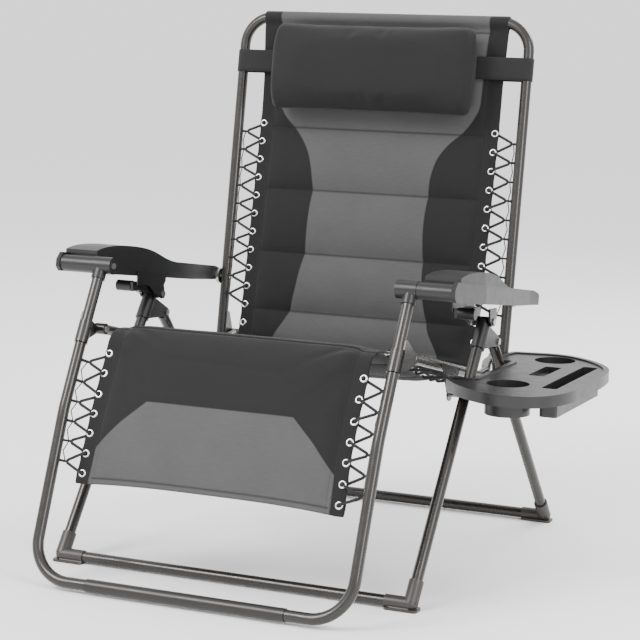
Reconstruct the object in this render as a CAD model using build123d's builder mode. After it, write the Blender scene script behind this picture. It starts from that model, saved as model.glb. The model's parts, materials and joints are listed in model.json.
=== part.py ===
"""Padded zero gravity recliner: folding tube frame, laced padded sling and side tray.

Millimetres. +Z is up, -Y is the side that the sitter's feet point to, and the chair
stands on its four plastic boots at z = 0. Link points are (y, z) pairs in the side view.
"""

from math import atan2, cos, degrees, hypot, radians, sin
import os

from build123d import *

os.makedirs("parts", exist_ok=True)

# ---------------------------------------------------------------- driving dimensions
mid_x = -91.0            # the chair's mid-plane, beside the origin because of the tray
lane_frame = 327.0       # foot frame, back frame and seat rails
lane_leg = 371.0         # leg tubes, leg caps and rear legs

tube_r = 11.0            # steel tube, outer radius
tube_wall = 1.2
plate_t = 2.5            # steel plates welded to the tubes
plate_in = 338.2         # inner face of those plates
bolt_r = 3.5
bolt_head_r = 6.5
bolt_head_h = 3.0
run_gap = 0.05           # radial clearance of a bolt in its bore

# side view of the linkage: the four corners of the parallelogram
nose = (-232.0, 584.0)          # armrest to foot frame
foot_pivot = (-230.0, 458.0)    # seat rail to foot frame
arm_pivot = (310.4, 504.0)      # armrest to back frame
back_pivot = (arm_pivot[0] + foot_pivot[0] - nose[0], arm_pivot[1] + foot_pivot[1] - nose[1])

# side view of the legs
front_floor = (-302.8, 13.0)
rear_floor = (475.0, 13.0)
leg_top = (48.7, 494.0)         # front leg to lock bracket
leg_hinge = (97.0, 448.0)       # rear leg to the lobe of the leg cap
seat_pivot_z = 360.0

# side view of the back frame and the foot frame
back_top = (389.9, 1003.4)
back_low = (300.0, 426.0)
back_head = (400.1, 1069.0)     # the top bar
foot_joint = (-310.3, 441.1)
foot_bend = (-370.5, 324.2)
foot_bar = (-490.0, 17.0)

# armrest, measured across the arm line from nose to arm pivot
arm_spacer_r = 16.5      # steel spacer between the back tube and the armrest
arm_in = 345.0
arm_wall = 3.5
arm_out_front = 420.0
arm_out_rear = 389.0

# lacing
eyelet_x = 267.0
eyelet_r = 8.0
eyelet_bore = 4.2
lace_r = 2.8
tie_r = 1.1


# ---------------------------------------------------------------- helpers
def at(sign, lane, point):
    """The point of the side view on one side of the chair."""
    return (mid_x + sign * lane, point[0], point[1])


def between(start, end, share):
    """A point part of the way from one side-view point to another."""
    return (start[0] + share * (end[0] - start[0]), start[1] + share * (end[1] - start[1]))


def along(start, end, distance, aside=0.0):
    """A point at a distance from start towards end, and aside to the left of that line."""
    length = hypot(end[0] - start[0], end[1] - start[1])
    uy, uz = (end[0] - start[0]) / length, (end[1] - start[1]) / length
    return (start[0] + distance * uy - aside * uz, start[1] + distance * uz + aside * uy)


def heading(start, end):
    """The angle of a side-view line, in degrees from +Y towards +Z."""
    return degrees(atan2(end[1] - start[1], end[0] - start[0]))


def pipe(points, outer, wall=None, radius=None):
    """A tube, or a rod where no wall is given, along straight runs and tangent arcs."""
    with BuildPart() as made:
        with BuildLine() as route:
            if radius is None:
                Polyline(*points)
            else:
                FilletPolyline(*points, radius=radius)
        with BuildSketch(Plane(origin=route.line @ 0, z_dir=route.line % 0)):
            Circle(outer)
            if wall:
                Circle(outer - wall, mode=Mode.SUBTRACT)
        sweep(path=route.line)
    return made.part


def disc(sign, point, lane_0, lane_1, radius):
    """A round bar across the chair, from one lane to another."""
    with BuildPart() as made:
        with BuildSketch(Plane.YZ.offset(min(mid_x + sign * lane_0, mid_x + sign * lane_1))):
            with Locations(point):
                Circle(radius)
        extrude(amount=abs(lane_1 - lane_0))
    return made.part


def pin(sign, point, lane_0, lane_1, heads=(True, True)):
    """A bolt across the chair from lane_0 out to lane_1, with heads just outside them."""
    with BuildPart() as made:
        add(disc(sign, point, lane_0, lane_1, bolt_r))
        if heads[0]:
            add(disc(sign, point, lane_0 - bolt_head_h, lane_0, bolt_head_r))
        if heads[1]:
            add(disc(sign, point, lane_1, lane_1 + bolt_head_h, bolt_head_r))
    return made.part


def bore(sign, point, lane_0, lane_1, radius=bolt_r + run_gap):
    """The cutter for a bolt's hole."""
    return disc(sign, point, lane_0, lane_1, radius)


def slab(lane_0, lane_1, sign, outline):
    """A plate in the side view, between two lanes on one side of the chair."""
    with BuildPart() as made:
        with BuildSketch(Plane.YZ.offset(min(mid_x + sign * lane_0, mid_x + sign * lane_1))):
            Polygon(*outline, align=None)
        extrude(amount=abs(lane_1 - lane_0))
    return made.part


def save(piece, name):
    """Label a piece and write it as its own STEP file."""
    piece.label = name
    export_step(piece, f"parts/{name}.step")


def group(pieces, name):
    """Write several separate solids as one node."""
    save(Compound(children=list(pieces)), name)


sides = (("left", -1), ("right", 1))
seat_pivot = along(leg_top, front_floor, (leg_top[1] - seat_pivot_z)
                   / sin(radians(heading(front_floor, leg_top))))

# ---------------------------------------------------------------- legs
sleeve_r = tube_r + 3.0
boot_sleeve = 46.0
bar_sleeve = 50.0
boot_reach = 16.0
boot_base_h = 5.0
leg_start = 14.0         # the leg tube begins this far above the floor bar's axis

for end_name, floor, top in (("front", front_floor, leg_top), ("rear", rear_floor, leg_hinge)):
    crossbar_half = lane_leg - leg_start
    bar_ends = [(mid_x - crossbar_half, *floor), (mid_x + crossbar_half, *floor)]
    save(pipe(bar_ends, tube_r, tube_wall), f"{end_name}_floor_bar")
    for side, sign in sides:
        corner = at(sign, lane_leg, floor)
        leg_axis = Vector(0, top[0] - floor[0], top[1] - floor[1]).normalized()
        with BuildPart() as boot:
            with BuildSketch(Plane(origin=corner, z_dir=leg_axis)):
                Circle(sleeve_r)
            extrude(amount=boot_sleeve)
            with BuildSketch(Plane(origin=corner, z_dir=(-sign, 0, 0))):
                Circle(floor[1])
            extrude(amount=bar_sleeve)
            with Locations(corner):
                Sphere(floor[1])
            # curved web in the corner between the leg and the floor bar
            with BuildSketch(Plane(origin=corner, x_dir=(-sign, 0, 0), z_dir=leg_axis.cross(
                    Vector(-sign, 0, 0)))):
                with BuildLine():
                    Polyline((0, 0), (bar_sleeve, 0), (bar_sleeve, sleeve_r - 3))
                    RadiusArc((bar_sleeve, sleeve_r - 3), (sleeve_r - 3, boot_sleeve), sign * 42)
                    Polyline((sleeve_r - 3, boot_sleeve), (0, boot_sleeve), (0, 0))
                make_face()
            extrude(amount=tube_r / 2, both=True)
            # flat sole
            with BuildSketch():
                with Locations((corner[0] - sign * (bar_sleeve / 2 - boot_reach / 2), corner[1])):
                    RectangleRounded(bar_sleeve + boot_reach, 2 * boot_reach, boot_reach / 2)
            extrude(amount=boot_base_h)
            # sockets for the leg tube and the floor bar
            with BuildSketch(Plane(origin=corner + leg_axis * leg_start, z_dir=leg_axis)):
                Circle(tube_r)
            extrude(amount=boot_sleeve, mode=Mode.SUBTRACT)
            with BuildSketch(Plane(origin=(corner[0] - sign * leg_start, *floor), z_dir=(-sign, 0, 0))):
                Circle(tube_r)
            extrude(amount=bar_sleeve, mode=Mode.SUBTRACT)
            split(bisect_by=Plane.XY, keep=Keep.TOP)
        save(boot.part, f"{end_name}_boot_{side}")

for side, sign in sides:
    leg_line = [at(sign, lane_leg, along(front_floor, leg_top, leg_start)),
                at(sign, lane_leg, along(leg_top, front_floor, bolt_head_r + 8))]
    with BuildPart() as front_leg:
        add(pipe(leg_line, tube_r, tube_wall))
        add(bore(sign, seat_pivot, lane_leg - 20, lane_leg + 20), mode=Mode.SUBTRACT)
    save(front_leg.part, f"front_leg_{side}")

# ---------------------------------------------------------------- leg caps and rear legs
cap_length = 62.0
lobe_r = 9.0
eye_half = 9.0
lobe_t = 2.0
lobe_in = tube_r + 0.4

for side, sign in sides:
    cap_low = along(leg_top, front_floor, cap_length)
    with BuildPart() as cap:
        with BuildSketch(Plane(origin=at(sign, lane_leg, cap_low),
                               z_dir=(0, leg_top[0] - cap_low[0], leg_top[1] - cap_low[1]))):
            Circle(sleeve_r)
        extrude(amount=cap_length)
        with BuildSketch(Plane.YZ.offset(mid_x + sign * lane_leg)):
            with Locations(leg_top):
                Circle(lobe_r)
        extrude(amount=sleeve_r - 1, both=True)
        # two cheeks that reach back to the rear leg's hinge
        for lane in (lane_leg - lobe_in - lobe_t, lane_leg + lobe_in):
            add(slab(lane, lane + lobe_t, sign,
                     [along(leg_top, front_floor, 10), (leg_hinge[0] + 5, leg_hinge[1] + lobe_r - 1),
                      (leg_hinge[0] - 2, leg_hinge[1] - lobe_r + 0.2),
                      along(leg_top, front_floor, cap_length - 1)]))
            add(disc(sign, leg_hinge, lane, lane + lobe_t, lobe_r))
        # socket for the leg tube, and the two bolt holes
        with BuildSketch(Plane(origin=at(sign, lane_leg, cap_low),
                               z_dir=(0, leg_top[0] - cap_low[0], leg_top[1] - cap_low[1]))):
            Circle(tube_r)
        extrude(amount=cap_length - bolt_head_r - 8, mode=Mode.SUBTRACT)
        add(bore(sign, leg_top, lane_leg - 20, lane_leg + 20), mode=Mode.SUBTRACT)
        add(bore(sign, leg_hinge, lane_leg - 20, lane_leg + 20), mode=Mode.SUBTRACT)
    save(cap.part, f"leg_cap_{side}")

    rear_start = along(leg_hinge, rear_floor, lobe_r)
    with BuildPart() as rear_leg:
        add(pipe([at(sign, lane_leg, rear_start),
                  at(sign, lane_leg, along(rear_floor, leg_hinge, leg_start))], tube_r, tube_wall))
        with BuildSketch(Plane.YZ.offset(mid_x + sign * lane_leg)):
            with Locations(leg_hinge):
                Circle(lobe_r - 0.5)
            with Locations(Location((*along(leg_hinge, rear_floor, lobe_r), 0),
                                    (0, 0, heading(leg_hinge, rear_floor)))):
                Rectangle(2 * lobe_r, 2 * lobe_r - 2)
        extrude(amount=eye_half, both=True)
        add(bore(sign, leg_hinge, lane_leg - 20, lane_leg + 20, bolt_r), mode=Mode.SUBTRACT)
    save(rear_leg.part, f"rear_leg_{side}")

cheek_out = lobe_in + lobe_t
group([pin(sign, leg_hinge, lane_leg - cheek_out - 0.1, lane_leg + cheek_out + 0.1) for _, sign in sides],
      "leg_hinge_bolts")

# ---------------------------------------------------------------- seat rails and their bolts
rail_r = 10.0
rail_dip = (150.0, 366.0)       # the rail's lowest point, between its two pivots
rail_step = (188.0, 368.0)      # behind here the rail bends inwards, clear of the back tube
rail_rear = (262.0, 374.0)
lane_rail_rear = 303.0
rail_end_r = 11.0

for side, sign in sides:
    with BuildPart() as rail:
        add(pipe([at(sign, lane_frame, along(foot_pivot, rail_dip, 5)), at(sign, lane_frame, rail_dip),
                  at(sign, lane_frame, rail_step), at(sign, lane_rail_rear, rail_rear),
                  at(sign, lane_rail_rear, along(back_pivot, rail_rear, 5))],
                 rail_r, tube_wall, 45))
        # solid ends that the pivot bolts pass through
        add(disc(sign, foot_pivot, lane_frame - rail_r, lane_frame + rail_r, rail_end_r))
        add(disc(sign, back_pivot, lane_rail_rear - rail_r, lane_rail_rear + rail_r, rail_end_r))
        # plate down to the leg pivot, welded to the rail's outer side
        hanger = [along(foot_pivot, rail_dip, 140, 3), along(foot_pivot, rail_dip, 240, 3),
                  (seat_pivot[0] + 11, seat_pivot[1]), (seat_pivot[0] - 11, seat_pivot[1])]
        add(slab(plate_in, plate_in + plate_t, sign, hanger))
        add(disc(sign, seat_pivot, plate_in, plate_in + plate_t, 12))
        weld = [along(foot_pivot, rail_dip, 150, 3), along(foot_pivot, rail_dip, 230, 3),
                along(foot_pivot, rail_dip, 230, -3), along(foot_pivot, rail_dip, 150, -3)]
        add(slab(lane_frame + rail_r - tube_wall, plate_in, sign, weld))
        for point in (foot_pivot, back_pivot, seat_pivot):
            add(bore(sign, point, lane_rail_rear - 2 * rail_r, lane_leg), mode=Mode.SUBTRACT)
    save(rail.part, f"seat_rail_{side}")

plate_out = plate_in + plate_t
group([pin(sign, seat_pivot, plate_in - 0.1, lane_leg + tube_r + 0.2) for _, sign in sides],
      "seat_pivot_bolts")
group([pin(sign, back_pivot, lane_rail_rear - rail_r - 0.1, lane_frame - tube_r + 2, (True, False))
       for _, sign in sides], "back_pivot_bolts")
group([pin(sign, foot_pivot, lane_frame - rail_r - 0.1, plate_out, (True, False))
       for _, sign in sides], "foot_pivot_bolts")

# ---------------------------------------------------------------- back frame
back_foot = along(back_low, back_top, -60)      # lower end of the back tube, beside its pivot
head_corner_r = 62.0
head_half = 255.0
back_plate_t = 2.4

for side, sign in sides:
    with BuildPart() as back_tube:
        add(pipe([at(sign, lane_frame, back_foot), at(sign, lane_frame, back_head),
                  (mid_x + sign * head_half, *back_head)], tube_r, tube_wall, head_corner_r))
        # plate on the tube's inner side for the seat rail's bolt
        cheek = [along(back_foot, back_top, 0, 6), along(back_foot, back_top, 62, 6),
                 along(back_foot, back_top, 62, -6), (back_pivot[0] + 10, back_pivot[1] + 3),
                 (back_pivot[0] + 3, back_pivot[1] - 10), along(back_foot, back_top, 0, -8)]
        add(slab(lane_frame - tube_r - back_plate_t + 0.4, lane_frame - tube_r + 0.4, sign, cheek))
        add(disc(sign, back_pivot, lane_frame - tube_r - back_plate_t + 0.4,
                 lane_frame - tube_r + 0.4, 11))
        add(bore(sign, back_pivot, lane_rail_rear, lane_frame), mode=Mode.SUBTRACT)
        add(bore(sign, arm_pivot, lane_rail_rear, lane_leg), mode=Mode.SUBTRACT)
    save(back_tube.part, f"back_tube_{side}")
save(pipe([(mid_x - head_half, *back_head), (mid_x + head_half, *back_head)], tube_r, tube_wall),
     "back_top_bar")

# ---------------------------------------------------------------- foot frame
foot_bend_r = 160.0
foot_corner_r = 78.0
foot_bar_half = 235.0
grip_half = 205.0
grip_r = 12.8
joint_sleeve = 44.0
tee_in = 300.0
tee_out = 342.0
tee_r = 17.0

for side, sign in sides:
    with BuildPart() as upper:
        add(pipe([at(sign, lane_frame, foot_joint),
                  at(sign, lane_frame, along(nose, foot_joint, tee_r - 3))], tube_r, tube_wall))
        bracket = [along(foot_joint, nose, 2, -2), along(foot_joint, nose, 66, -2),
                   (foot_pivot[0] - 6, foot_pivot[1] + 9), (foot_pivot[0] + 4, foot_pivot[1] + 9.5),
                   (foot_pivot[0] + 4, foot_pivot[1] - 9.5), (foot_pivot[0] - 30, foot_pivot[1] - 16)]
        add(slab(plate_in, plate_out, sign, bracket))
        add(disc(sign, foot_pivot, plate_in, plate_out, 10.5))
        weld = [along(foot_joint, nose, joint_sleeve + 1, -3), along(foot_joint, nose, 64, -3),
                along(foot_joint, nose, 64, 3), along(foot_joint, nose, joint_sleeve + 1, 3)]
        add(slab(lane_frame + tube_r - tube_wall, plate_out, sign, weld))
        add(bore(sign, foot_pivot, lane_frame, lane_leg), mode=Mode.SUBTRACT)
    save(upper.part, f"foot_upper_tube_{side}")

    save(pipe([at(sign, lane_frame, along(foot_joint, foot_bend, 1)), at(sign, lane_frame, foot_bend),
               at(sign, lane_frame, foot_bar), (mid_x + sign * foot_bar_half, *foot_bar)],
              tube_r, tube_wall, [foot_bend_r, foot_corner_r]), f"foot_lower_tube_{side}")

    with BuildPart() as tee:
        add(disc(sign, nose, tee_in, tee_out, tee_r))
        socket_start = at(sign, lane_frame, along(nose, foot_joint, tee_r + 12))
        with BuildSketch(Plane(origin=socket_start, z_dir=(0, nose[0] - foot_joint[0],
                                                           nose[1] - foot_joint[1]))):
            Circle(tube_r + 2.5)
        extrude(amount=tee_r + 12)
        add(pipe([at(sign, lane_frame, foot_joint),
                  at(sign, lane_frame, along(nose, foot_joint, tee_r - 3))], tube_r),
            mode=Mode.SUBTRACT)
    save(tee.part, f"nose_tee_{side}")

for_sleeve = [along(foot_joint, nose, -20, -40), along(foot_joint, nose, 80, -40),
              along(foot_joint, nose, 80, 40), along(foot_joint, nose, -20, 40)]
group([pipe([at(sign, lane_frame, foot_joint),
             at(sign, lane_frame, along(foot_joint, nose, joint_sleeve))], tube_r + 2.2, 2.15)
       - slab(plate_in - 0.1, plate_in + 10, sign, for_sleeve) for _, sign in sides],
      "foot_joint_sleeves")
save(pipe([(mid_x - foot_bar_half, *foot_bar), (mid_x + foot_bar_half, *foot_bar)], tube_r, tube_wall),
     "foot_bar")
save(pipe([(mid_x - grip_half, *foot_bar), (mid_x + grip_half, *foot_bar)], grip_r, grip_r - tube_r),
     "foot_bar_sleeve")
group([disc(sign, nose, tee_in - 2.5, tee_in, 6) for _, sign in sides], "nose_screws")

# ---------------------------------------------------------------- armrests
arm_length = hypot(arm_pivot[0] - nose[0], arm_pivot[1] - nose[1])
arm_front = -18.0
arm_back = arm_length + 18
nose_wall = 17.0         # the beam's cross wall starts here, behind the nose tube
web_low = 18.0           # underside of the beam's top, over the lock bracket and the leg cap
web_high = 20.5


def arm(s, v):
    """A side-view point by its distance from the nose along the arm line, and its height."""
    return along(nose, arm_pivot, s, v)


for side, sign in sides:
    with BuildPart() as armrest:
        with BuildSketch(Plane.YZ.offset(min(mid_x + sign * arm_in, mid_x + sign * arm_out_front))):
            with BuildLine():
                Polyline(arm(arm_front, 6), arm(arm_front, -8), arm(-8, -17), arm(420, -13),
                         arm(arm_back, -8), arm(arm_back, 12), arm(arm_back - 8, 16),
                         arm(arm_length - 20, web_high), arm(-6, web_high), arm(arm_front, 6))
            make_face()
        extrude(amount=arm_out_front - arm_in)
        # the outer side tapers towards the rear
        with BuildSketch(Plane.XY.offset(arm_pivot[1] - 60)):
            Polygon((mid_x + sign * (arm_out_front + 1), nose[0] + 150),
                    (mid_x + sign * (arm_out_front + 1), arm_pivot[0] + 60),
                    (mid_x + sign * arm_out_rear, arm_pivot[0] + 60),
                    (mid_x + sign * arm_out_rear, arm_pivot[0] - 40),
                    (mid_x + sign * arm_out_front, nose[0] + 150), align=None)
        extrude(amount=200, mode=Mode.SUBTRACT)
        # room for the nose tube in front of the cross wall
        add(slab(arm_in - 1, arm_out_front - 8, sign,
                 [arm(-40, -40), arm(nose_wall, -40), arm(nose_wall, 60), arm(-40, 60)]),
            mode=Mode.SUBTRACT)
        # the channel, open below and at the rear
        with BuildSketch(Plane.XY.offset(arm_pivot[1] - 60)):
            Polygon((mid_x + sign * (arm_in + arm_wall), nose[0] + 22),
                    (mid_x + sign * (arm_out_front - arm_wall), nose[0] + 22),
                    (mid_x + sign * (arm_out_front - arm_wall), nose[0] + 150),
                    (mid_x + sign * (arm_out_rear - arm_wall), arm_pivot[0] - 40),
                    (mid_x + sign * (arm_out_rear - arm_wall), arm_pivot[0] + 60),
                    (mid_x + sign * (arm_in + arm_wall), arm_pivot[0] + 60), align=None)
        cavity = extrude(amount=200, mode=Mode.PRIVATE)
        under_web = slab(arm_in - 5, arm_out_front + 5, sign,
                         [arm(-60, -120), arm(arm_length + 80, -120),
                          arm(arm_length + 80, web_low), arm(-60, web_low)])
        add(cavity & under_web, mode=Mode.SUBTRACT)
        add(bore(sign, arm_pivot, arm_in - 5, arm_in + 10), mode=Mode.SUBTRACT)
    save(armrest.part, f"armrest_{side}")

    with BuildPart() as pad:
        with BuildSketch(Plane.YZ.offset(min(mid_x + sign * (arm_in + 2),
                                             mid_x + sign * (arm_out_front - 2)))):
            with BuildLine():
                Polyline(arm(345, web_high + 0.5), arm(345, web_high), arm(14, web_high), arm(14, 28))
                Spline(arm(14, 28), arm(45, 36), arm(95, 42), arm(185, 44), arm(250, 38),
                       arm(300, 27), arm(345, web_high + 0.5))
            make_face()
        extrude(amount=arm_out_front - arm_in - 4)
        with BuildSketch(Plane.XY.offset(arm_pivot[1] - 60)):
            Polygon((mid_x + sign * (arm_out_front + 1), nose[0] + 150),
                    (mid_x + sign * (arm_out_front + 1), arm_pivot[0] + 60),
                    (mid_x + sign * (arm_out_rear - 2), arm_pivot[0] + 60),
                    (mid_x + sign * (arm_out_rear - 2), arm_pivot[0] - 40),
                    (mid_x + sign * (arm_out_front - 2), nose[0] + 150), align=None)
        extrude(amount=260, mode=Mode.SUBTRACT)
    save(pad.part, f"arm_pad_{side}")
    save(disc(sign, nose, tee_out + 0.5, arm_out_front - 8, 16), f"arm_nose_tube_{side}")

group([pin(sign, arm_pivot, lane_frame - tube_r - 0.1, arm_in + arm_wall + 0.1)
       + disc(sign, arm_pivot, lane_frame + tube_r + 0.3, arm_in - 0.2, arm_spacer_r) for _, sign in sides],
      "arm_pivot_bolts")

# ---------------------------------------------------------------- lock brackets and levers
lock_plate_in = 342.2
lock_plate_out = 344.7
lock_inner = (350.0, 356.0)      # cheek of the bracket inside the armrest's channel
lock_outer = (386.0, 390.0)
lever_hub = (-55.0, 521.0)
lever_r = 11.0

for side, sign in sides:
    with BuildPart() as lock:
        add(slab(lock_plate_in, lock_plate_out, sign,
                 [(-58, 553), (62, 536), (62, 520), (54, 512), (57, 500), (62, 492), (56, 484),
                  (44, 484), (10, 503), (-6, 516), (-20, 521), (-58, 524)]))
        for lanes in (lock_inner, lock_outer):
            add(slab(*lanes, sign, [(28, 521), (66, 519), (66, 497), (58, 485), (40, 485), (30, 497)]))
        # arm of the inner cheek that carries the lever
        add(slab(*lock_inner, sign, [(34, 508), (34, 496), (-48, 512), (-64, 512), (-64, 530),
                                     (-48, 530)]))
        add(bore(sign, leg_top, lock_plate_in - 5, lock_outer[1] + 5), mode=Mode.SUBTRACT)
        add(bore(sign, lever_hub, lock_inner[0] - 1, lock_inner[1] + 1), mode=Mode.SUBTRACT)
    save(lock.part, f"lock_bracket_{side}")
    with BuildPart() as lock_bolt:
        add(disc(sign, leg_top, lock_plate_in - 0.1, lock_outer[1] + 0.1, bolt_r))
        add(disc(sign, leg_top, lock_plate_in - 1.2, lock_plate_in - 0.1, bolt_head_r))
        add(disc(sign, leg_top, lock_outer[1] + 0.1, lock_outer[1] + 2.5, bolt_head_r))
    save(lock_bolt.part, f"lock_bolt_{side}")
    with BuildPart() as lever:
        add(disc(sign, lever_hub, lock_inner[1] + 0.5, lock_outer[1], lever_r))
        add(disc(sign, lever_hub, lock_inner[0] - 1, lock_inner[1] + 0.5, bolt_r))
        add(slab(lock_inner[1] + 4, lock_inner[1] + 13, sign,
                 [(-55, 532), (-42, 529), (-20, 516), (-4, 505), (-7, 500), (-24, 507), (-55, 510)]))
    save(lever.part, f"lock_lever_{side}")

# ---------------------------------------------------------------- sling
sling_t = 15.0           # padded middle
edge_t = 3.5             # edge strips that carry the eyelets
pad_half = 245.0
sling_half = 277.0
hem_half = 250.0
hem_r = 14.0

back_eyelets = [between((279.2, 410.5), (368.2, 839.5), i / 11) for i in range(12)]
seat_eyelets = [(-186.0, 454.0), (-150.0, 442.4), (-114.0, 428.6), (-78.0, 414.6), (-42.0, 400.6),
                (-6.0, 388.4), (31.0, 377.8), (69.0, 369.4), (107.0, 364.2), (145.0, 361.0)]
leg_eyelets = [(-302.0, 423.6), (-321.5, 387.6), (-342.0, 350.0), (-359.6, 315.0), (-374.8, 280.0),
               (-389.0, 243.0), (-402.6, 207.0)]

# side-view lines of the three panels; the eyelets lie on them
back_line = [(267.0, 384.0), (277.2, 400.7)] + back_eyelets
back_line += [(375.6, 885.0), (382.4, 940.0), (389.2, 1000.0), (394.0, 1046.0)]
seat_line = [(-245.0, 465.0), (-214.0, 461.0)] + seat_eyelets
seat_line += [(190.0, 358.8), (236.0, 357.4)]
leg_line = [(-284.6, 458.5), (-292.5, 441.2)] + leg_eyelets + [(-410.0, 186.0)]
# the sling's bends, which stay with the seat in reclining and turn with the back or foot in folding
front_bend_line = [(-247.5, 465.2), (-262.0, 464.9), (-268.0, 463.6)]
rear_bend_line = [(242.0, 359.5), (252.0, 364.0), (259.0, 370.5), (264.5, 379.0)]


def normals(points):
    """Unit normals of a side-view line, to the left of its heading."""
    result = []
    for i in range(len(points)):
        before, after = points[max(i - 1, 0)], points[min(i + 1, len(points) - 1)]
        length = hypot(after[0] - before[0], after[1] - before[1])
        result.append((-(after[1] - before[1]) / length, (after[0] - before[0]) / length))
    return result


def ribbon(points, thickness, x_0, x_1):
    """A panel of even thickness along a side-view line, from x_0 to x_1."""
    offsets = [[(p[0] + s * thickness / 2 * n[0], p[1] + s * thickness / 2 * n[1])
                for p, n in zip(points, normals(points))] for s in (1, -1)]
    with BuildPart() as made:
        with BuildSketch(Plane.YZ.offset(mid_x + x_0)):
            with BuildLine():
                Spline(*offsets[0])
                Spline(*offsets[1])
                Line(offsets[0][0], offsets[1][0])
                Line(offsets[0][-1], offsets[1][-1])
            make_face()
        extrude(amount=x_1 - x_0)
    return made.part


def eyelet_plane(sign, lane, point, normal):
    """A plane on an eyelet, facing out of the sling."""
    return Plane(origin=at(sign, lane, point), z_dir=(0, normal[0], normal[1]))


def facing(line, eyelets):
    """The panel's normals at its eyelets."""
    return [way for point, way in zip(line, normals(line)) if point in eyelets]


def panel(line, eyelets, lane):
    """A sling panel: padded middle, thin edges and the eyelets' holes."""
    with BuildPart() as made:
        add(ribbon(line, edge_t, -sling_half, sling_half))
        add(ribbon(line, sling_t, -pad_half, pad_half))
        for _, sign in sides:
            for point, normal in zip(eyelets, facing(line, eyelets)):
                with BuildSketch(eyelet_plane(sign, lane, point, normal).offset(-edge_t)):
                    Circle(eyelet_barrel_r + 0.05)
                extrude(amount=2 * edge_t, mode=Mode.SUBTRACT)
    return made.part


def eyelet_rings(line, eyelets, lane):
    """Flanged metal rings, both faces, on both edges."""
    rings = []
    for _, sign in sides:
        for point, normal in zip(eyelets, facing(line, eyelets)):
            face = eyelet_plane(sign, lane, point, normal)
            with BuildPart() as ring:
                with BuildSketch(face.offset(-edge_t / 2 - flange_t)):
                    Circle(eyelet_barrel_r)
                extrude(amount=edge_t + 2 * flange_t)
                with BuildSketch(face.offset(-edge_t / 2 - flange_t), face.offset(edge_t / 2 + ring_lift)):
                    Circle(eyelet_r)
                extrude(amount=flange_t - ring_lift)
                with BuildSketch(face.offset(-edge_t)):
                    Circle(eyelet_bore)
                extrude(amount=2 * edge_t, mode=Mode.SUBTRACT)
            rings.append(ring.part)
    return rings


def lacing(sign, line, eyelets, anchors):
    """The elastic cord through the eyelets of one edge, and the thin tie beside the tube."""
    route = []
    radii = []
    ways = facing(line, eyelets)
    apexes = [between(first, second, 0.5) for first, second in zip(eyelets, eyelets[1:])]
    for i in range(len(eyelets)):
        turn = lace_lift if i % 2 else -lace_lift
        for step in (turn, -turn):
            route.append(at(sign, eyelet_x, (eyelets[i][0] + step * ways[i][0],
                                             eyelets[i][1] + step * ways[i][1])))
            radii.append(lace_bend)
        if i < len(apexes):
            route.append(at(sign, apex_lane, apexes[i]))
            radii.append(lace_bend)
    elastic = pipe(route, lace_r, None, radii[1:-1])
    ties = []
    for i in range(len(apexes)):
        ties.append(at(sign, apex_edge, apexes[i]))
        if i < len(apexes) - 1:
            ties.append(at(sign, tie_lane, anchors[i]))
    return [elastic, pipe(ties, tie_r, None, tie_bend)]


eyelet_barrel_r = 5.2
flange_t = 1.1
ring_lift = 0.3          # the flanges stand this far clear of the fabric
lace_lift = 8.5
lace_bend = 4.0
tie_bend = 2.0


def tie_anchors(eyelets, line_start, line_end):
    """Where the tie touches the tube, level with each inner eyelet."""
    length = hypot(line_end[0] - line_start[0], line_end[1] - line_start[1])
    found = []
    for point in eyelets[1:-1]:
        run = ((point[0] - line_start[0]) * (line_end[0] - line_start[0])
               + (point[1] - line_start[1]) * (line_end[1] - line_start[1])) / length ** 2
        found.append(between(point, between(line_start, line_end, run), tie_share))
    return found


tie_share = 0.7
apex_lane = 310.0
apex_edge = 309.8       # where the tie passes outside the elastic's bends
tie_lane = 313.4
back_anchors = tie_anchors(back_eyelets, back_low, back_top)
seat_anchors = tie_anchors(seat_eyelets, foot_pivot, rail_dip)
leg_anchors = tie_anchors(leg_eyelets[:3], foot_joint, foot_bend)
leg_anchors += tie_anchors(leg_eyelets[1:], foot_bend, foot_bar)

with BuildPart() as back_panel:
    add(panel(back_line, back_eyelets, eyelet_x))
    # the hem that the top bar runs through
    add(ribbon([between(back_line[-1], back_head, -0.1), between(back_line[-1], back_head, 0.6)],
               2 * edge_t, -hem_half, hem_half))
    add(disc(1, back_head, -hem_half, hem_half, hem_r))
    add(disc(1, back_head, -hem_half - 5, hem_half + 5, tube_r + 0.3), mode=Mode.SUBTRACT)
save(back_panel.part, "back_panel")
save(panel(seat_line, seat_eyelets, eyelet_x), "seat_panel")
save(panel(leg_line, leg_eyelets, eyelet_x), "leg_panel")
save(ribbon(rear_bend_line, sling_t, -pad_half, pad_half), "rear_bend")
save(ribbon(front_bend_line, sling_t, -pad_half, pad_half), "front_bend")
for name, line, eyelets, laced, anchors in (
        ("back", back_line, back_eyelets, back_eyelets[1:], back_anchors[1:]),
        ("seat", seat_line, seat_eyelets, seat_eyelets, seat_anchors),
        ("leg", leg_line, leg_eyelets, leg_eyelets, leg_anchors)):
    group(eyelet_rings(line, eyelets, eyelet_x), f"{name}_eyelets")
    cords = []
    for _, sign in sides:
        cords += lacing(sign, line, laced, anchors)
    group(cords, f"{name}_lacing")

# ---------------------------------------------------------------- headrest pillow
pillow_half = 232.0
pillow_low = between(back_low, back_top, 0.77)
pillow_high = between(back_low, back_top, 1.075)
pillow_t = 74.0
pillow_back = 13.0       # clear of the back panel's face
strap_low = between(back_low, back_top, 0.905)
strap_h = 46.0
strap_t = 1.4
strap_r = tube_r + 0.8

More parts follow.
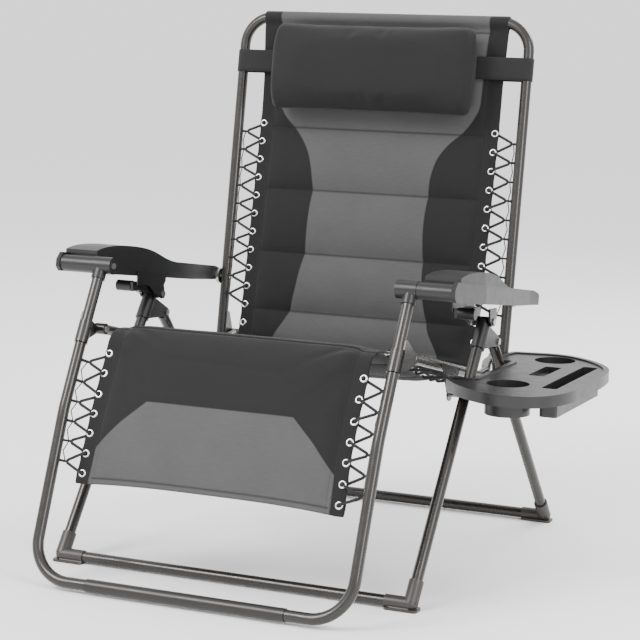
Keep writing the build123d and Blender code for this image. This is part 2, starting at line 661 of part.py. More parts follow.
pillow_plane = Plane(origin=at(1, 0, along(pillow_low, pillow_high, 0, pillow_back)),
                     x_dir=(1, 0, 0), z_dir=(0, back_top[0] - back_low[0], back_top[1] - back_low[1]))
pillow_h = hypot(pillow_high[0] - pillow_low[0], pillow_high[1] - pillow_low[1])
with BuildPart() as pillow:
    with BuildSketch(pillow_plane):
        with Locations((0, -pillow_t / 2)):
            Rectangle(2 * pillow_half, pillow_t)
    extrude(amount=pillow_h)
    fillet(pillow.edges(), 30)
save(pillow.part, "headrest_pillow")

strap_plane = Plane(origin=at(1, 0, strap_low), x_dir=(1, 0, 0),
                    z_dir=(0, back_top[0] - back_low[0], back_top[1] - back_low[1]))
with BuildPart() as strap:
    with BuildSketch(strap_plane):
        SlotCenterToCenter(2 * lane_frame, 2 * (strap_r + strap_t))
        SlotCenterToCenter(2 * lane_frame, 2 * strap_r, mode=Mode.SUBTRACT)
        # the pillow's back takes the place of the band's front in the middle
        with Locations((0, -strap_r)):
            Rectangle(2 * (pillow_half - 4), 4 * strap_t, mode=Mode.SUBTRACT)
    extrude(amount=strap_h)
save(strap.part, "headrest_strap")

# ---------------------------------------------------------------- side tray
tray_top = 398.0
tray_rim = 22.0
tray_wall = 2.5
tray_floor = 395.0       # the recess inside the rim
tray_skin = 391.5
well_low = 337.0
cup_front = (461.0, -59.0)
cup_rear = (456.0, 243.0)
cup_r = 41.0
pocket_low = 340.0
tray_outline = [(343, -53.5), (343, -82), (396, -150), (480, -200), (560, -190), (598, -110), (602, 100),
                (590, 190), (536, 263), (458, 314), (350, 291), (343, 256), (343, 177), (388, 177),
                (388, -53.5)]
tray_radii = [5, 12, 200, 100, 80, 190, 500, 160, 230, 110, 14, 12, 5, 8, 8]


def tray_sketch(inset):
    """The tray's outline, drawn in by an inset."""
    with BuildSketch() as made:
        with BuildLine():
            FilletPolyline(*[(mid_x + x, y) for x, y in tray_outline], radius=tray_radii, close=True)
        make_face()
        if inset:
            offset(amount=-inset, mode=Mode.REPLACE)
    return made.sketch


def box_sketch(x_0, x_1, y_0, y_1, corner):
    """A rounded rectangle in the top view."""
    with BuildSketch() as made:
        with Locations((mid_x + (x_0 + x_1) / 2, (y_0 + y_1) / 2)):
            RectangleRounded(x_1 - x_0, y_1 - y_0, corner)
    return made.sketch


def prism(sketch, low, high):
    """A sketch of the top view raised from low to high."""
    return extrude(Plane.XY.offset(low) * sketch, amount=high - low)


slot_box = (463, 496, 51, 164)
pocket_box = (530, 560, -70, 200)
slot_low = 384.0
with BuildPart() as tray:
    add(prism(tray_sketch(0), tray_top - tray_rim, tray_top))
    add(prism(tray_sketch(tray_wall), tray_top - tray_rim - 1, tray_skin), mode=Mode.SUBTRACT)
    add(prism(tray_sketch(11), tray_floor, tray_top + 1), mode=Mode.SUBTRACT)
    for centre in (cup_front, cup_rear):
        with BuildSketch(Plane.XY.offset(well_low)):
            with Locations((mid_x + centre[0], centre[1])):
                Circle(cup_r + tray_wall)
        extrude(amount=tray_floor - well_low)
    add(prism(box_sketch(pocket_box[0] - tray_wall, pocket_box[1] + tray_wall,
                         pocket_box[2] - tray_wall, pocket_box[3] + tray_wall, 8),
              pocket_low, tray_floor))
    add(prism(box_sketch(slot_box[0] - tray_wall, slot_box[1] + tray_wall,
                         slot_box[2] - tray_wall, slot_box[3] + tray_wall, 6),
              slot_low - tray_wall, tray_floor))
    for centre in (cup_front, cup_rear):
        with BuildSketch(Plane.XY.offset(well_low + tray_wall)):
            with Locations((mid_x + centre[0], centre[1])):
                Circle(cup_r)
        extrude(amount=tray_top, mode=Mode.SUBTRACT)
    add(prism(box_sketch(*pocket_box, 6), pocket_low + tray_wall, tray_top + 1), mode=Mode.SUBTRACT)
    add(prism(box_sketch(*slot_box, 4), slot_low, tray_top + 1), mode=Mode.SUBTRACT)
save(tray.part, "tray")
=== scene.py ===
"""The looks of the padded zero gravity recliner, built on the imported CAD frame.

Metres throughout. +X is the tray side, -Y the side of the sitter's feet, +Z up.
The sling is worked out flat: a point has a place across (x from the mid-plane) and a
distance along the side-view line from the top hem over the back, seat and front bend.
"""

import json
import math

import bmesh
import bpy
import numpy as np
from mathutils import Matrix, Vector, noise
from mathutils.bvhtree import BVHTree


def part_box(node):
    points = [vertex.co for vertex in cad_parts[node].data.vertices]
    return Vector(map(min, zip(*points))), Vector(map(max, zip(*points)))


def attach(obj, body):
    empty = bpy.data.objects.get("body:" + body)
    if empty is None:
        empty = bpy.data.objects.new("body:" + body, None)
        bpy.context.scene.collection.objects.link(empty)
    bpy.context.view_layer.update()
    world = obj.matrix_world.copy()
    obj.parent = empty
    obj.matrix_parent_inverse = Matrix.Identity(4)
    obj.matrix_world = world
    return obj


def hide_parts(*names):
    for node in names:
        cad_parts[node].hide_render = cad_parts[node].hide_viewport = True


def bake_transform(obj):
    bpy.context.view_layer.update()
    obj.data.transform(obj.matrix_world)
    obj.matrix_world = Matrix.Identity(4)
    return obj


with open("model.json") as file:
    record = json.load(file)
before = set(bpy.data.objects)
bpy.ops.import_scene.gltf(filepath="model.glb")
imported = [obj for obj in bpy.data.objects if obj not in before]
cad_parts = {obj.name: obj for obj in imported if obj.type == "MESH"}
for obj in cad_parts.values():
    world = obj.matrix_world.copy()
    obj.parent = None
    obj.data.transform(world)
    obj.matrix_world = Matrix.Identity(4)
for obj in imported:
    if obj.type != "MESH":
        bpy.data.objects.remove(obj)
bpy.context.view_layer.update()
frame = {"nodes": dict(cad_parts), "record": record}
nodes = frame["nodes"]
MM = 0.001


def middle(node):
    """Centre of a CAD node's box."""
    low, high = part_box(node)
    return (Vector(low) + Vector(high)) / 2


MID = middle("back_top_bar").x


# ---------------------------------------------------------------- materials
class Shader:
    """A Principled material and short ways to add nodes to it."""

    def __init__(self, name, colour, roughness, metallic=0.0, **sockets):
        self.material = bpy.data.materials.new(name)
        self.material.use_nodes = True
        self.tree = self.material.node_tree
        self.shader = self.tree.nodes["Principled BSDF"]
        self.shader.inputs["Base Color"].default_value = (*colour, 1)
        self.shader.inputs["Roughness"].default_value = roughness
        self.shader.inputs["Metallic"].default_value = metallic
        for socket, value in sockets.items():
            self.shader.inputs[socket.replace("_", " ")].default_value = value
        self.place = self.node("ShaderNodeTexCoord").outputs["Object"]
        self.height = None

    def node(self, kind, **settings):
        made = self.tree.nodes.new(kind)
        for key, value in settings.items():
            setattr(made, key, value)
        return made

    def link(self, source, target):
        self.tree.links.new(source, target)

    def attribute(self, name, output="Fac"):
        return self.node("ShaderNodeAttribute", attribute_name=name).outputs[output]

    def math(self, operation, a, b=None, clamp=False):
        made = self.node("ShaderNodeMath", operation=operation, use_clamp=clamp)
        for index, value in enumerate((a, b)):
            if value is None:
                continue
            if isinstance(value, (int, float)):
                made.inputs[index].default_value = value
            else:
                self.link(value, made.inputs[index])
        return made.outputs[0]

    def noise(self, scale, detail=3.0, roughness=0.55, stretch=None, vector=None):
        made = self.node("ShaderNodeTexNoise")
        made.inputs["Scale"].default_value = scale
        made.inputs["Detail"].default_value = detail
        made.inputs["Roughness"].default_value = roughness
        source = vector or self.place
        if stretch:
            mapping = self.node("ShaderNodeMapping")
            mapping.inputs["Scale"].default_value = stretch
            self.link(source, mapping.inputs["Vector"])
            source = mapping.outputs[0]
        self.link(source, made.inputs["Vector"])
        return made.outputs["Fac"]

    def ramp(self, value, low, high, out_low, out_high):
        made = self.node("ShaderNodeMapRange", clamp=True)
        for socket, number in zip(("From Min", "From Max", "To Min", "To Max"),
                                  (low, high, out_low, out_high)):
            made.inputs[socket].default_value = number
        self.link(value, made.inputs["Value"])
        return made.outputs[0]

    def mix(self, factor, a, b, blend_type="MIX"):
        made = self.node("ShaderNodeMix", data_type="RGBA", blend_type=blend_type)
        for index, value in ((0, factor), (6, a), (7, b)):
            if isinstance(value, (int, float)):
                made.inputs[index].default_value = value
            elif isinstance(value, tuple):
                made.inputs[index].default_value = (*value, 1)
            else:
                self.link(value, made.inputs[index])
        return made.outputs[2]

    def bump(self, height, distance, strength=1.0):
        made = self.node("ShaderNodeBump")
        made.inputs["Distance"].default_value = distance
        made.inputs["Strength"].default_value = strength
        self.link(height, made.inputs["Height"])
        if self.height is not None:
            self.link(self.height, made.inputs["Normal"])
        self.height = made.outputs[0]
        self.link(self.height, self.shader.inputs["Normal"])

    def colour(self, output):
        self.link(output, self.shader.inputs["Base Color"])

    def rough(self, output):
        self.link(output, self.shader.inputs["Roughness"])


def painted_steel(name, colour, worn, roughness=0.34):
    """Powder coat: an even orange-peel skin with faint wear and dust."""
    s = Shader(name, colour, roughness, 0.25, Coat_Weight=0.25, Coat_Roughness=0.18)
    cloud = s.noise(9.0, 4.0)
    s.colour(s.mix(s.ramp(cloud, 0.45, 0.75, 0.0, 0.5), colour, worn))
    s.rough(s.ramp(s.noise(60.0, 3.0), 0.3, 0.7, roughness - 0.06, roughness + 0.1))
    s.bump(s.noise(900.0, 2.0), 0.00006, 0.5)
    return s.material


def moulded_plastic(name, colour, light, roughness=0.5, grain=2200.0, depth=0.00012):
    """Textured moulding: fine spark grain, soft sheen and slightly paler high spots."""
    s = Shader(name, colour, roughness, 0.0, Specular_IOR_Level=0.45)
    s.colour(s.mix(s.ramp(s.noise(14.0, 4.0), 0.4, 0.75, 0.0, 0.45), colour, light))
    s.rough(s.ramp(s.noise(45.0, 3.0), 0.3, 0.7, roughness - 0.03, roughness + 0.04))
    s.bump(s.noise(grain, 2.0, 0.6), depth, 0.6)
    s.bump(s.noise(35.0, 2.0), 0.0004, 0.15)
    return s.material


def plain_metal(name, colour, roughness):
    """Plated steel with fine turning marks."""
    s = Shader(name, colour, roughness, 1.0)
    s.colour(s.mix(s.ramp(s.noise(120.0, 4.0), 0.35, 0.8, 0.0, 0.7), colour,
                   tuple(0.72 * c for c in colour)))
    s.rough(s.ramp(s.noise(300.0, 3.0, stretch=(8, 1, 1)), 0.3, 0.7, roughness - 0.05,
                   roughness + 0.12))
    s.bump(s.noise(1500.0, 2.0, stretch=(6, 1, 1)), 0.00003, 0.5)
    return s.material


def weave_height(s, pitch, vector):
    """Warp and weft of a plain weave, as a height."""
    split = s.node("ShaderNodeSeparateXYZ")
    s.link(vector, split.inputs[0])
    rate = 2 * math.pi / pitch
    warp = s.math("SINE", s.math("MULTIPLY", split.outputs[0], rate))
    weft = s.math("SINE", s.math("MULTIPLY", split.outputs[1], rate))
    return s.math("MULTIPLY", warp, weft), split


def woven_fabric(name, dark, grey=None):
    """Outdoor fabric: plain weave, slubs and faint creases; grey fills the inlaid panels."""
    s = Shader(name, dark, 0.82, 0.0, Sheen_Weight=0.08, Sheen_Roughness=0.4,
               Specular_IOR_Level=0.3)
    flat = s.attribute("flat", "Vector")
    weave, split = weave_height(s, 0.0011, flat)
    colour = dark
    if grey:
        inlay = s.attribute("inlay")
        colour = s.mix(s.ramp(inlay, -0.0004, 0.0004, 0.0, 1.0), dark, grey)
        # the seam between grey inlay and dark pad is darkened: partly a dark seam line, partly painted
        # shade in its groove
        seam = s.math("SUBTRACT", 1.0, s.ramp(s.math("ABSOLUTE", inlay), 0.0004, 0.0022, 0.0, 1.0))
        colour = s.mix(s.math("MULTIPLY", seam, 0.55), colour, tuple(0.35 * c for c in dark))
    thread = s.ramp(weave, -1.0, 1.0, 0.86, 1.1)
    slub = s.ramp(s.noise(420.0, 3.0, stretch=(0.15, 1, 1), vector=flat), 0.3, 0.7, 0.93, 1.06)
    cloud = s.ramp(s.noise(7.0, 4.0, vector=flat), 0.3, 0.7, 0.93, 1.07)
    shade = s.math("MULTIPLY", s.math("MULTIPLY", thread, slub), cloud)
    tint = s.node("ShaderNodeCombineXYZ")
    for socket in tint.inputs:
        s.link(shade, socket)
    colour = s.mix(1.0, colour, tint.outputs[0], "MULTIPLY")
    if grey:
        # a row of stitches on each side of the seam between pad and edge strip
        edge = s.attribute("edge")
        row = s.math("SUBTRACT", 1.0, s.ramp(s.math("ABSOLUTE", s.math(
            "SUBTRACT", s.math("ABSOLUTE", edge), 0.004)), 0.0003, 0.0007, 0.0, 1.0))
        along = s.math("GREATER_THAN", s.math("FRACT", s.math("DIVIDE", split.outputs[1], 0.0038)), 0.3)
        stitch = s.math("MULTIPLY", row, along)
        colour = s.mix(s.math("MULTIPLY", stitch, 0.5), colour, tuple(2.2 * c for c in dark))
        s.bump(stitch, 0.0005, 0.7)
        # the sewn line at the bottom of each cross seam, sunk; its colour is darkened partly for the
        # thread and partly as painted shade in the sunk line
        cross = s.attribute("cross")
        sunk_and_painted_shade = s.math("SUBTRACT", 1.0, s.ramp(cross, 0.0003, 0.0035, 0.0, 1.0))
        colour = s.mix(s.math("MULTIPLY", sunk_and_painted_shade, 0.6), colour, tuple(0.5 * c for c in dark))
        s.bump(s.math("MULTIPLY", sunk_and_painted_shade, -1.0), 0.0012, 0.6)
    s.colour(colour)
    s.bump(weave, 0.00018, 0.55)
    s.bump(s.noise(55.0, 4.0, vector=flat), 0.0012, 0.22)
    return s.material


def braided_cord(name, colour, sheen):
    """Black elastic cord with a braided cover."""
    s = Shader(name, colour, 0.75, 0.0)
    wave = s.node("ShaderNodeTexWave", wave_type="BANDS", bands_direction="DIAGONAL")
    wave.inputs["Scale"].default_value = 420.0
    wave.inputs["Distortion"].default_value = 3.0
    s.link(s.place, wave.inputs["Vector"])
    s.colour(s.mix(s.ramp(wave.outputs["Fac"], 0.3, 0.9, 0.0, 1.0), colour, sheen))
    s.bump(wave.outputs["Fac"], 0.0003, 0.6)
    return s.material


MATERIALS = {
    "frame_steel": painted_steel("frame_steel", (0.019, 0.0165, 0.0145), (0.030, 0.026, 0.0235), 0.26),
    "foot_sleeve": moulded_plastic("foot_sleeve", (0.014, 0.0125, 0.0115), (0.020, 0.018, 0.017), 0.32),
    "lock_plate": painted_steel("lock_plate", (0.010, 0.010, 0.010), (0.018, 0.018, 0.018), 0.34),
    "bolt_steel": plain_metal("bolt_steel", (0.48, 0.47, 0.46), 0.32),
    "arm_plastic": moulded_plastic("arm_plastic", (0.0085, 0.0085, 0.009), (0.013, 0.013, 0.0135), 0.36),
    "arm_pad": moulded_plastic("arm_pad", (0.009, 0.009, 0.0095), (0.014, 0.014, 0.0145), 0.4),
    "boot_plastic": moulded_plastic("boot_plastic", (0.036, 0.031, 0.028), (0.048, 0.042, 0.038), 0.38),
    "sling_fabric": woven_fabric("sling_fabric", (0.0078, 0.0078, 0.0082), (0.068, 0.068, 0.069)),
    "pillow_fabric": woven_fabric("pillow_fabric", (0.0085, 0.0085, 0.0088)),
    "strap_webbing": woven_fabric("strap_webbing", (0.013, 0.013, 0.0135)),
    "eyelet_metal": plain_metal("eyelet_metal", (0.86, 0.86, 0.85), 0.2),
    "lace_cord": braided_cord("lace_cord", (0.003, 0.003, 0.0033), (0.009, 0.009, 0.0095)),
    "tray_plastic": moulded_plastic("tray_plastic", (0.0125, 0.0125, 0.013), (0.019, 0.019, 0.0195),
                                    0.34, 1500.0, 0.00014),
}
BEVELLED = {"tray": 1.2, "armrest_left": 1.6, "armrest_right": 1.6, "arm_pad_left": 2.5,
            "arm_pad_right": 2.5, "leg_cap_left": 0.7, "leg_cap_right": 0.7,
            "lock_lever_left": 0.9, "lock_lever_right": 0.9, "lock_bracket_left": 0.5,
            "lock_bracket_right": 0.5, "front_boot_left": 0.8, "front_boot_right": 0.8,
            "rear_boot_left": 0.8, "rear_boot_right": 0.8}

for part in frame["record"]["subparts"]:
    node = nodes[part["node"]]
    node.data.materials.clear()
    node.data.materials.append(MATERIALS[part["material_slot"]])
    for polygon in node.data.polygons:
        polygon.use_smooth = True
    node.data.set_sharp_from_angle(angle=math.radians(38))
    if part["node"] in BEVELLED:
        bevel = node.modifiers.new("edge", "BEVEL")
        bevel.width = BEVELLED[part["node"]] * MM
        bevel.segments = 3
        bevel.limit_method = "ANGLE"
        bevel.angle_limit = math.radians(38)
        bevel.harden_normals = True


# ---------------------------------------------------------------- mesh helpers
def new_object(name, verts, faces, material, smooth=True):
    mesh = bpy.data.meshes.new(name)
    mesh.from_pydata([tuple(v) for v in verts], [], faces)
    mesh.update()
    for polygon in mesh.polygons:
        polygon.use_smooth = smooth
    mesh.materials.append(material)
    made = bpy.data.objects.new(name, mesh)
    bpy.context.scene.collection.objects.link(made)
    return made


def recalculate(obj):
    """Make a mesh's faces point outwards."""
    work = bmesh.new()
    work.from_mesh(obj.data)
    bmesh.ops.recalc_face_normals(work, faces=work.faces)
    work.to_mesh(obj.data)
    work.free()


def put_attribute(obj, name, kind, values):
    attribute = obj.data.attributes.get(name) or obj.data.attributes.new(name, kind, "POINT")
    attribute.data.foreach_set("vector" if kind == "FLOAT_VECTOR" else "value",
                               np.asarray(values, np.float32).ravel())


def apply_modifiers(obj):
    """Replace the mesh by its evaluated self, with no modifier left."""
    graph = bpy.context.evaluated_depsgraph_get()
    mesh = bpy.data.meshes.new_from_object(obj.evaluated_get(graph), depsgraph=graph)
    obj.modifiers.clear()
    obj.data = mesh
    return obj


def points_of(obj):
    co = np.empty(len(obj.data.vertices) * 3)
    obj.data.vertices.foreach_get("co", co)
    return co.reshape(-1, 3)


def set_points(obj, co):
    obj.data.vertices.foreach_set("co", np.asarray(co, np.float32).ravel())
    obj.data.update()


def inflate(obj, pressure, cap, pinned=None, frames=20, stiffness=12.0):
    """Swell a closed mesh with Cloth, with no point moving more than the cap."""
    rest = points_of(obj)
    cloth = obj.modifiers.new("cloth", "CLOTH")
    settings = cloth.settings
    settings.quality = 6
    settings.mass = 0.25
    settings.tension_stiffness = stiffness
    settings.compression_stiffness = stiffness
    settings.shear_stiffness = stiffness / 2
    settings.bending_stiffness = 0.6
    settings.use_pressure = True
    settings.uniform_pressure_force = pressure
    settings.effector_weights.gravity = 0
    if pinned is not None:
        group = obj.vertex_groups.new(name="pinned")
        for index, weight in enumerate(pinned):
            if weight > 0:
                group.add([index], float(weight), "REPLACE")
        settings.vertex_group_mass = "pinned"
    cloth.collision_settings.use_self_collision = False
    cloth.point_cache.frame_start = 1
    cloth.point_cache.frame_end = frames
    for number in range(1, frames + 1):
        bpy.context.scene.frame_set(number)
    swollen = bpy.context.evaluated_depsgraph_get()
    moved = np.empty(len(rest) * 3)
    evaluated = obj.evaluated_get(swollen).to_mesh()
    evaluated.vertices.foreach_get("co", moved)
    moved = moved.reshape(-1, 3)
    obj.evaluated_get(swollen).to_mesh_clear()
    obj.modifiers.clear()
    obj.vertex_groups.clear()
    bpy.context.scene.frame_set(1)
    shift = moved - rest
    length = np.linalg.norm(shift, axis=1, keepdims=True) + 1e-12
    shift *= np.minimum(1.0, cap / length)
    set_points(obj, rest + shift)
    return obj


# ---------------------------------------------------------------- the sling's side-view line
HEM_R = 0.0137          # the cloth round the top bar
LINE_STEP = 0.0005
SIDE_LINE = [(402.2, 1082.4), (400.1, 1069.0), (397.6, 1056.0), (394.0, 1044.0), (389.2, 1000.0),
             (382.4, 940.0), (375.6, 885.0), (368.2, 839.5), (352.0, 761.5), (335.8, 683.5),
             (319.7, 605.5), (303.5, 527.5), (287.3, 449.5), (279.2, 410.5), (273.0, 395.0),
             (265.5, 380.0), (255.0, 367.5), (240.0, 360.0), (215.0, 358.0), (190.0, 358.8),
             (145.0, 361.0), (107.0, 364.2), (69.0, 369.4), (31.0, 377.8), (-6.0, 388.4),
             (-42.0, 400.6), (-78.0, 414.6), (-114.0, 428.6), (-150.0, 442.4), (-186.0, 454.0),
             (-214.0, 461.0), (-245.0, 465.5), (-262.0, 465.0), (-275.0, 461.5), (-286.0, 454.5),
             (-295.5, 441.0), (-302.0, 423.6), (-321.5, 387.6), (-342.0, 350.0), (-359.6, 315.0),
             (-374.8, 280.0), (-389.0, 243.0), (-402.6, 207.0), (-409.5, 187.5)]


def smooth_line(points, step=LINE_STEP):
    """Catmull-Rom through side-view points, resampled evenly: places, distances."""
    p = np.array(points) * MM
    p = np.vstack([2 * p[0] - p[1], p, 2 * p[-1] - p[-2]])
    found = []
    for a, b, c, d in zip(p, p[1:], p[2:], p[3:]):
        for t in np.linspace(0, 1, 12, endpoint=False):
            found.append(0.5 * (2 * b + (c - a) * t + (2 * a - 5 * b + 4 * c - d) * t * t
                                + (3 * b - a - 3 * c + d) * t ** 3))
    found.append(p[-2])
    found = np.array(found)
    run = np.concatenate([[0], np.cumsum(np.linalg.norm(np.diff(found, axis=0), axis=1))])
    even = np.arange(0, run[-1], step)
    return np.column_stack([np.interp(even, run, found[:, k]) for k in (0, 1)]), even


LINE, RUN = smooth_line(SIDE_LINE)
TANGENT = np.gradient(LINE, RUN, axis=0)
TANGENT /= np.linalg.norm(TANGENT, axis=1)[:, None]


def line_at(s):
    """Side-view place, and the normal towards the sitter, at distances along the sling."""
    place = np.column_stack([np.interp(s, RUN, LINE[:, k]) for k in (0, 1)])
    way = np.column_stack([np.interp(s, RUN, TANGENT[:, k]) for k in (0, 1)])
    way /= np.linalg.norm(way, axis=1)[:, None]
    return place, np.column_stack([way[:, 1], -way[:, 0]])


def run_to(y, z):
    """Distance along the sling of the line's point nearest a side-view point in mm."""
    return float(RUN[np.argmin(np.hypot(LINE[:, 0] - y * MM, LINE[:, 1] - z * MM))])


PAD_HALF = 0.245        # the padded part ends here, and the edge strips begin
PAD_CROWN = 0.0118
PAD_PINCH = 0.0012
PAD_ROUND = 0.034
STRIP_HALF = 0.00175
S_BEND_REAR = run_to(252, 365)
S_MID_SEAT = run_to(31, 378)
S_BEND_FRONT = run_to(-262, 465)
S_END = float(RUN[-1])
BACK_SEAMS = [run_to(367, 833), run_to(339, 701), run_to(311, 566), run_to(286, 442)]
SEAT_SEAMS = [run_to(150, 361), run_to(31, 378), run_to(-100, 423)]
TOP_SEAM = run_to(394, 1046)
HEM_SEAM = S_END - 0.012
STITCHED = BACK_SEAMS + [TOP_SEAM, HEM_SEAM]
# half width of the grey inlay at distances along the sling
INLAY = [(0.0, 241), (run_to(376, 885), 233), (run_to(369, 845), 208), (run_to(364, 820), 176),
         (run_to(356, 780), 148), (run_to(347, 740), 137), (run_to(339, 701), 134),
         (run_to(325, 635), 134), (run_to(311, 566), 137), (run_to(297, 500), 146),
         (run_to(286, 442), 158), (run_to(279, 410), 172), (run_to(267, 384), 190),
         (run_to(236, 358), 204), (run_to(107, 364), 206), (run_to(0, 387), 190),
         (run_to(-114, 428), 150)]
INLAY_SEAT_END = run_to(-128, 434)
LEG_TOP = run_to(-345, 344)
LEG_FOLD = run_to(-304, 419)
LEG_CORNER = run_to(-364, 306)
LEG_SIDE = run_to(-384, 256)


def rounded_curve(knots, blur=0.012):
    """A piecewise line over distance along the sling, rounded at its knots."""
    line = np.interp(RUN, [k[0] for k in knots], [k[1] * MM for k in knots])
    reach = int(3 * blur / LINE_STEP)
    kernel = np.exp(-0.5 * (np.arange(-reach, reach + 1) * LINE_STEP / blur) ** 2)
    return np.convolve(np.pad(line, reach, mode="edge"), kernel / kernel.sum(), mode="valid")


INLAY_HALF = rounded_curve(INLAY)
INLAY_SLOPE = np.gradient(INLAY_HALF, RUN)


def inlay_distance(x, s):
    """Signed distance inside the grey panels, smooth across their seams."""
    slope = np.interp(s, RUN, INLAY_SLOPE)
    upper = (np.interp(s, RUN, INLAY_HALF) - np.abs(x)) / np.sqrt(1 + slope ** 2)
    upper = np.minimum(upper, INLAY_SEAT_END - s)
    width = np.interp(s, [LEG_TOP - 0.02, LEG_TOP, LEG_CORNER, LEG_SIDE, S_END],
                      [0.126, 0.153, 0.200, 0.249, 0.252])
    lower = np.minimum((width - np.abs(x)) * 0.75, s - LEG_TOP)
    return np.where(s < 0.5 * (INLAY_SEAT_END + LEG_TOP), upper, lower)


BACK_EYELETS = [(279.2 + 89.0 * i / 11, 410.5 + 429.0 * i / 11) for i in range(12)]
SEAT_EYELETS = [(-186.0, 454.0), (-150.0, 442.4), (-114.0, 428.6), (-78.0, 414.6), (-42.0, 400.6),
                (-6.0, 388.4), (31.0, 377.8), (69.0, 369.4), (107.0, 364.2), (145.0, 361.0)]
LEG_EYELETS = [(-302.0, 423.6), (-321.5, 387.6), (-342.0, 350.0), (-359.6, 315.0), (-374.8, 280.0),
               (-389.0, 243.0), (-402.6, 207.0)]
EYELET_RUNS = sorted(run_to(*p) for p in BACK_EYELETS + SEAT_EYELETS + LEG_EYELETS)


def half_width(s):
    """The sling's own half width: it flares at the top hem and is drawn out at each eyelet."""
    width = np.interp(s, [0.0, 0.02, run_to(382, 940), run_to(368, 839), S_END - 0.1, S_END],
                      [0.2835, 0.2835, 0.2775, 0.2765, 0.2765, 0.281])
    gap = np.min(np.abs(s[:, None] - np.array(EYELET_RUNS)[None, :]), axis=1)
    return width + 0.0018 * np.exp(-(gap / 0.009) ** 2) - 0.0012


def channel(s, seams, crown, pinch):
    """Half thickness of a quilted channel: pinched at its seams, crowned between."""
    seams = np.array(sorted(seams))
    index = np.clip(np.searchsorted(seams, s) - 1, 0, len(seams) - 2)
    share = np.clip((s - seams[index]) / (seams[index + 1] - seams[index]), 0, 1)
    return pinch + (crown - pinch) * (1 - np.abs(2 * share - 1) ** 2.4) ** 0.55


ALL_SEAMS = ([TOP_SEAM] + BACK_SEAMS + [run_to(262, 375)] + SEAT_SEAMS + [run_to(-186, 454)]
             + [HEM_SEAM])


def sling_grid(start, end, step):
    """Places across and distances along one stretch, with a row on every seam."""
    rows = [start, end] + [s for s in ALL_SEAMS if start < s < end]
    stations = [start]
    for a, b in zip(sorted(rows), sorted(rows)[1:]):
        stations += list(np.linspace(a, b, max(2, int(round((b - a) / step)) + 1))[1:])
    s_rows = np.array(stations)
    inner = np.linspace(-PAD_HALF, PAD_HALF, 2 * int(round(PAD_HALF / step)) + 1)
    strip = np.linspace(0, 1, 7)[1:]
    s_grid = np.repeat(s_rows[:, None], len(inner) + 2 * len(strip), axis=1)
    edge = half_width(s_rows)[:, None]
    x_grid = np.hstack([-(PAD_HALF + (edge - PAD_HALF) * strip[::-1]),
                        np.repeat(inner[None, :], len(s_rows), axis=0),
                        PAD_HALF + (edge - PAD_HALF) * strip])
    return x_grid, s_grid


def sling_half_thickness(x_grid, s_grid):
    """Quilted between the seams, thin in the strips, a round hem at the top bar."""
    pad = channel(s_grid, ALL_SEAMS, PAD_CROWN, PAD_PINCH)
    side = np.clip((PAD_HALF - np.abs(x_grid)) / PAD_ROUND, 0, 1)
    pad = 0.0018 + (pad - 0.0018) * np.sqrt(1 - (1 - side) ** 2)
    half = np.where(np.abs(x_grid) >= PAD_HALF, STRIP_HALF, pad)
    hem = HEM_R ** 2 - (s_grid - run_to(400.1, 1069)) ** 2
    half = np.where(hem > 0, np.maximum(half, np.sqrt(np.maximum(hem, 0))), half)
    half = np.maximum(half, PAD_PINCH)
    roll = np.exp(-((S_END - 0.005 - s_grid) / 0.004) ** 2) * 0.0016
    return half + roll


def sheet_faces(n_rows, n_cols):
    """Faces of a closed sheet whose front grid of points comes before its back grid."""
    size = n_rows * n_cols
    faces = []
    for i in range(n_rows - 1):
        for j in range(n_cols - 1):
            a, b = i * n_cols + j, i * n_cols + j + 1
            c, d = a + n_cols, b + n_cols
            faces.append((a, b, d, c))
            faces.append((size + a, size + c, size + d, size + b))
        for j in (0, n_cols - 1):
            a, c = i * n_cols + j, (i + 1) * n_cols + j
            faces.append((a, c, size + c, size + a))
    for i in (0, n_rows - 1):
        for j in range(n_cols - 1):
            a = i * n_cols + j
            faces.append((a, size + a, size + a + 1, a + 1))
    return faces


def sling_relief(flat_x, flat_s, inlay, out, start, end):
    """How far the skin is lifted: seam grooves and pulls in front, soft ripples all over."""
    groove = -0.0014 * np.exp(-(inlay / 0.0045) ** 2) * (np.abs(flat_x) < PAD_HALF - 0.003)
    crease = np.clip((0.155 - np.abs(flat_x + 0.004)) / 0.04, 0, 1)
    fold_at = LEG_FOLD + 0.004 * np.sin(flat_x * 9)
    groove -= 0.0022 * np.exp(-((flat_s - fold_at) / 0.005) ** 2) * crease
    # short pulls in the cloth run away from each cross seam
    for seam in ALL_SEAMS:
        near = np.exp(-np.abs(flat_s - seam) / 0.018)
        groove -= 0.0009 * near * np.maximum(0, np.sin(flat_x * 150 + 7 * np.sin(flat_x * 23 + seam * 40)))
    groove *= out > 0
    ripple = np.array([noise.noise(Vector((x * 9, s * 16, 3.1))) for x, s in zip(flat_x, flat_s)])
    inside = np.clip((PAD_HALF - np.abs(flat_x)) / 0.03, 0, 1)
    ends = np.clip(np.minimum(flat_s - start, end - flat_s) / 0.02, 0, 1)
    return groove + 0.0012 * ripple * inside * ends * (flat_s > TOP_SEAM)


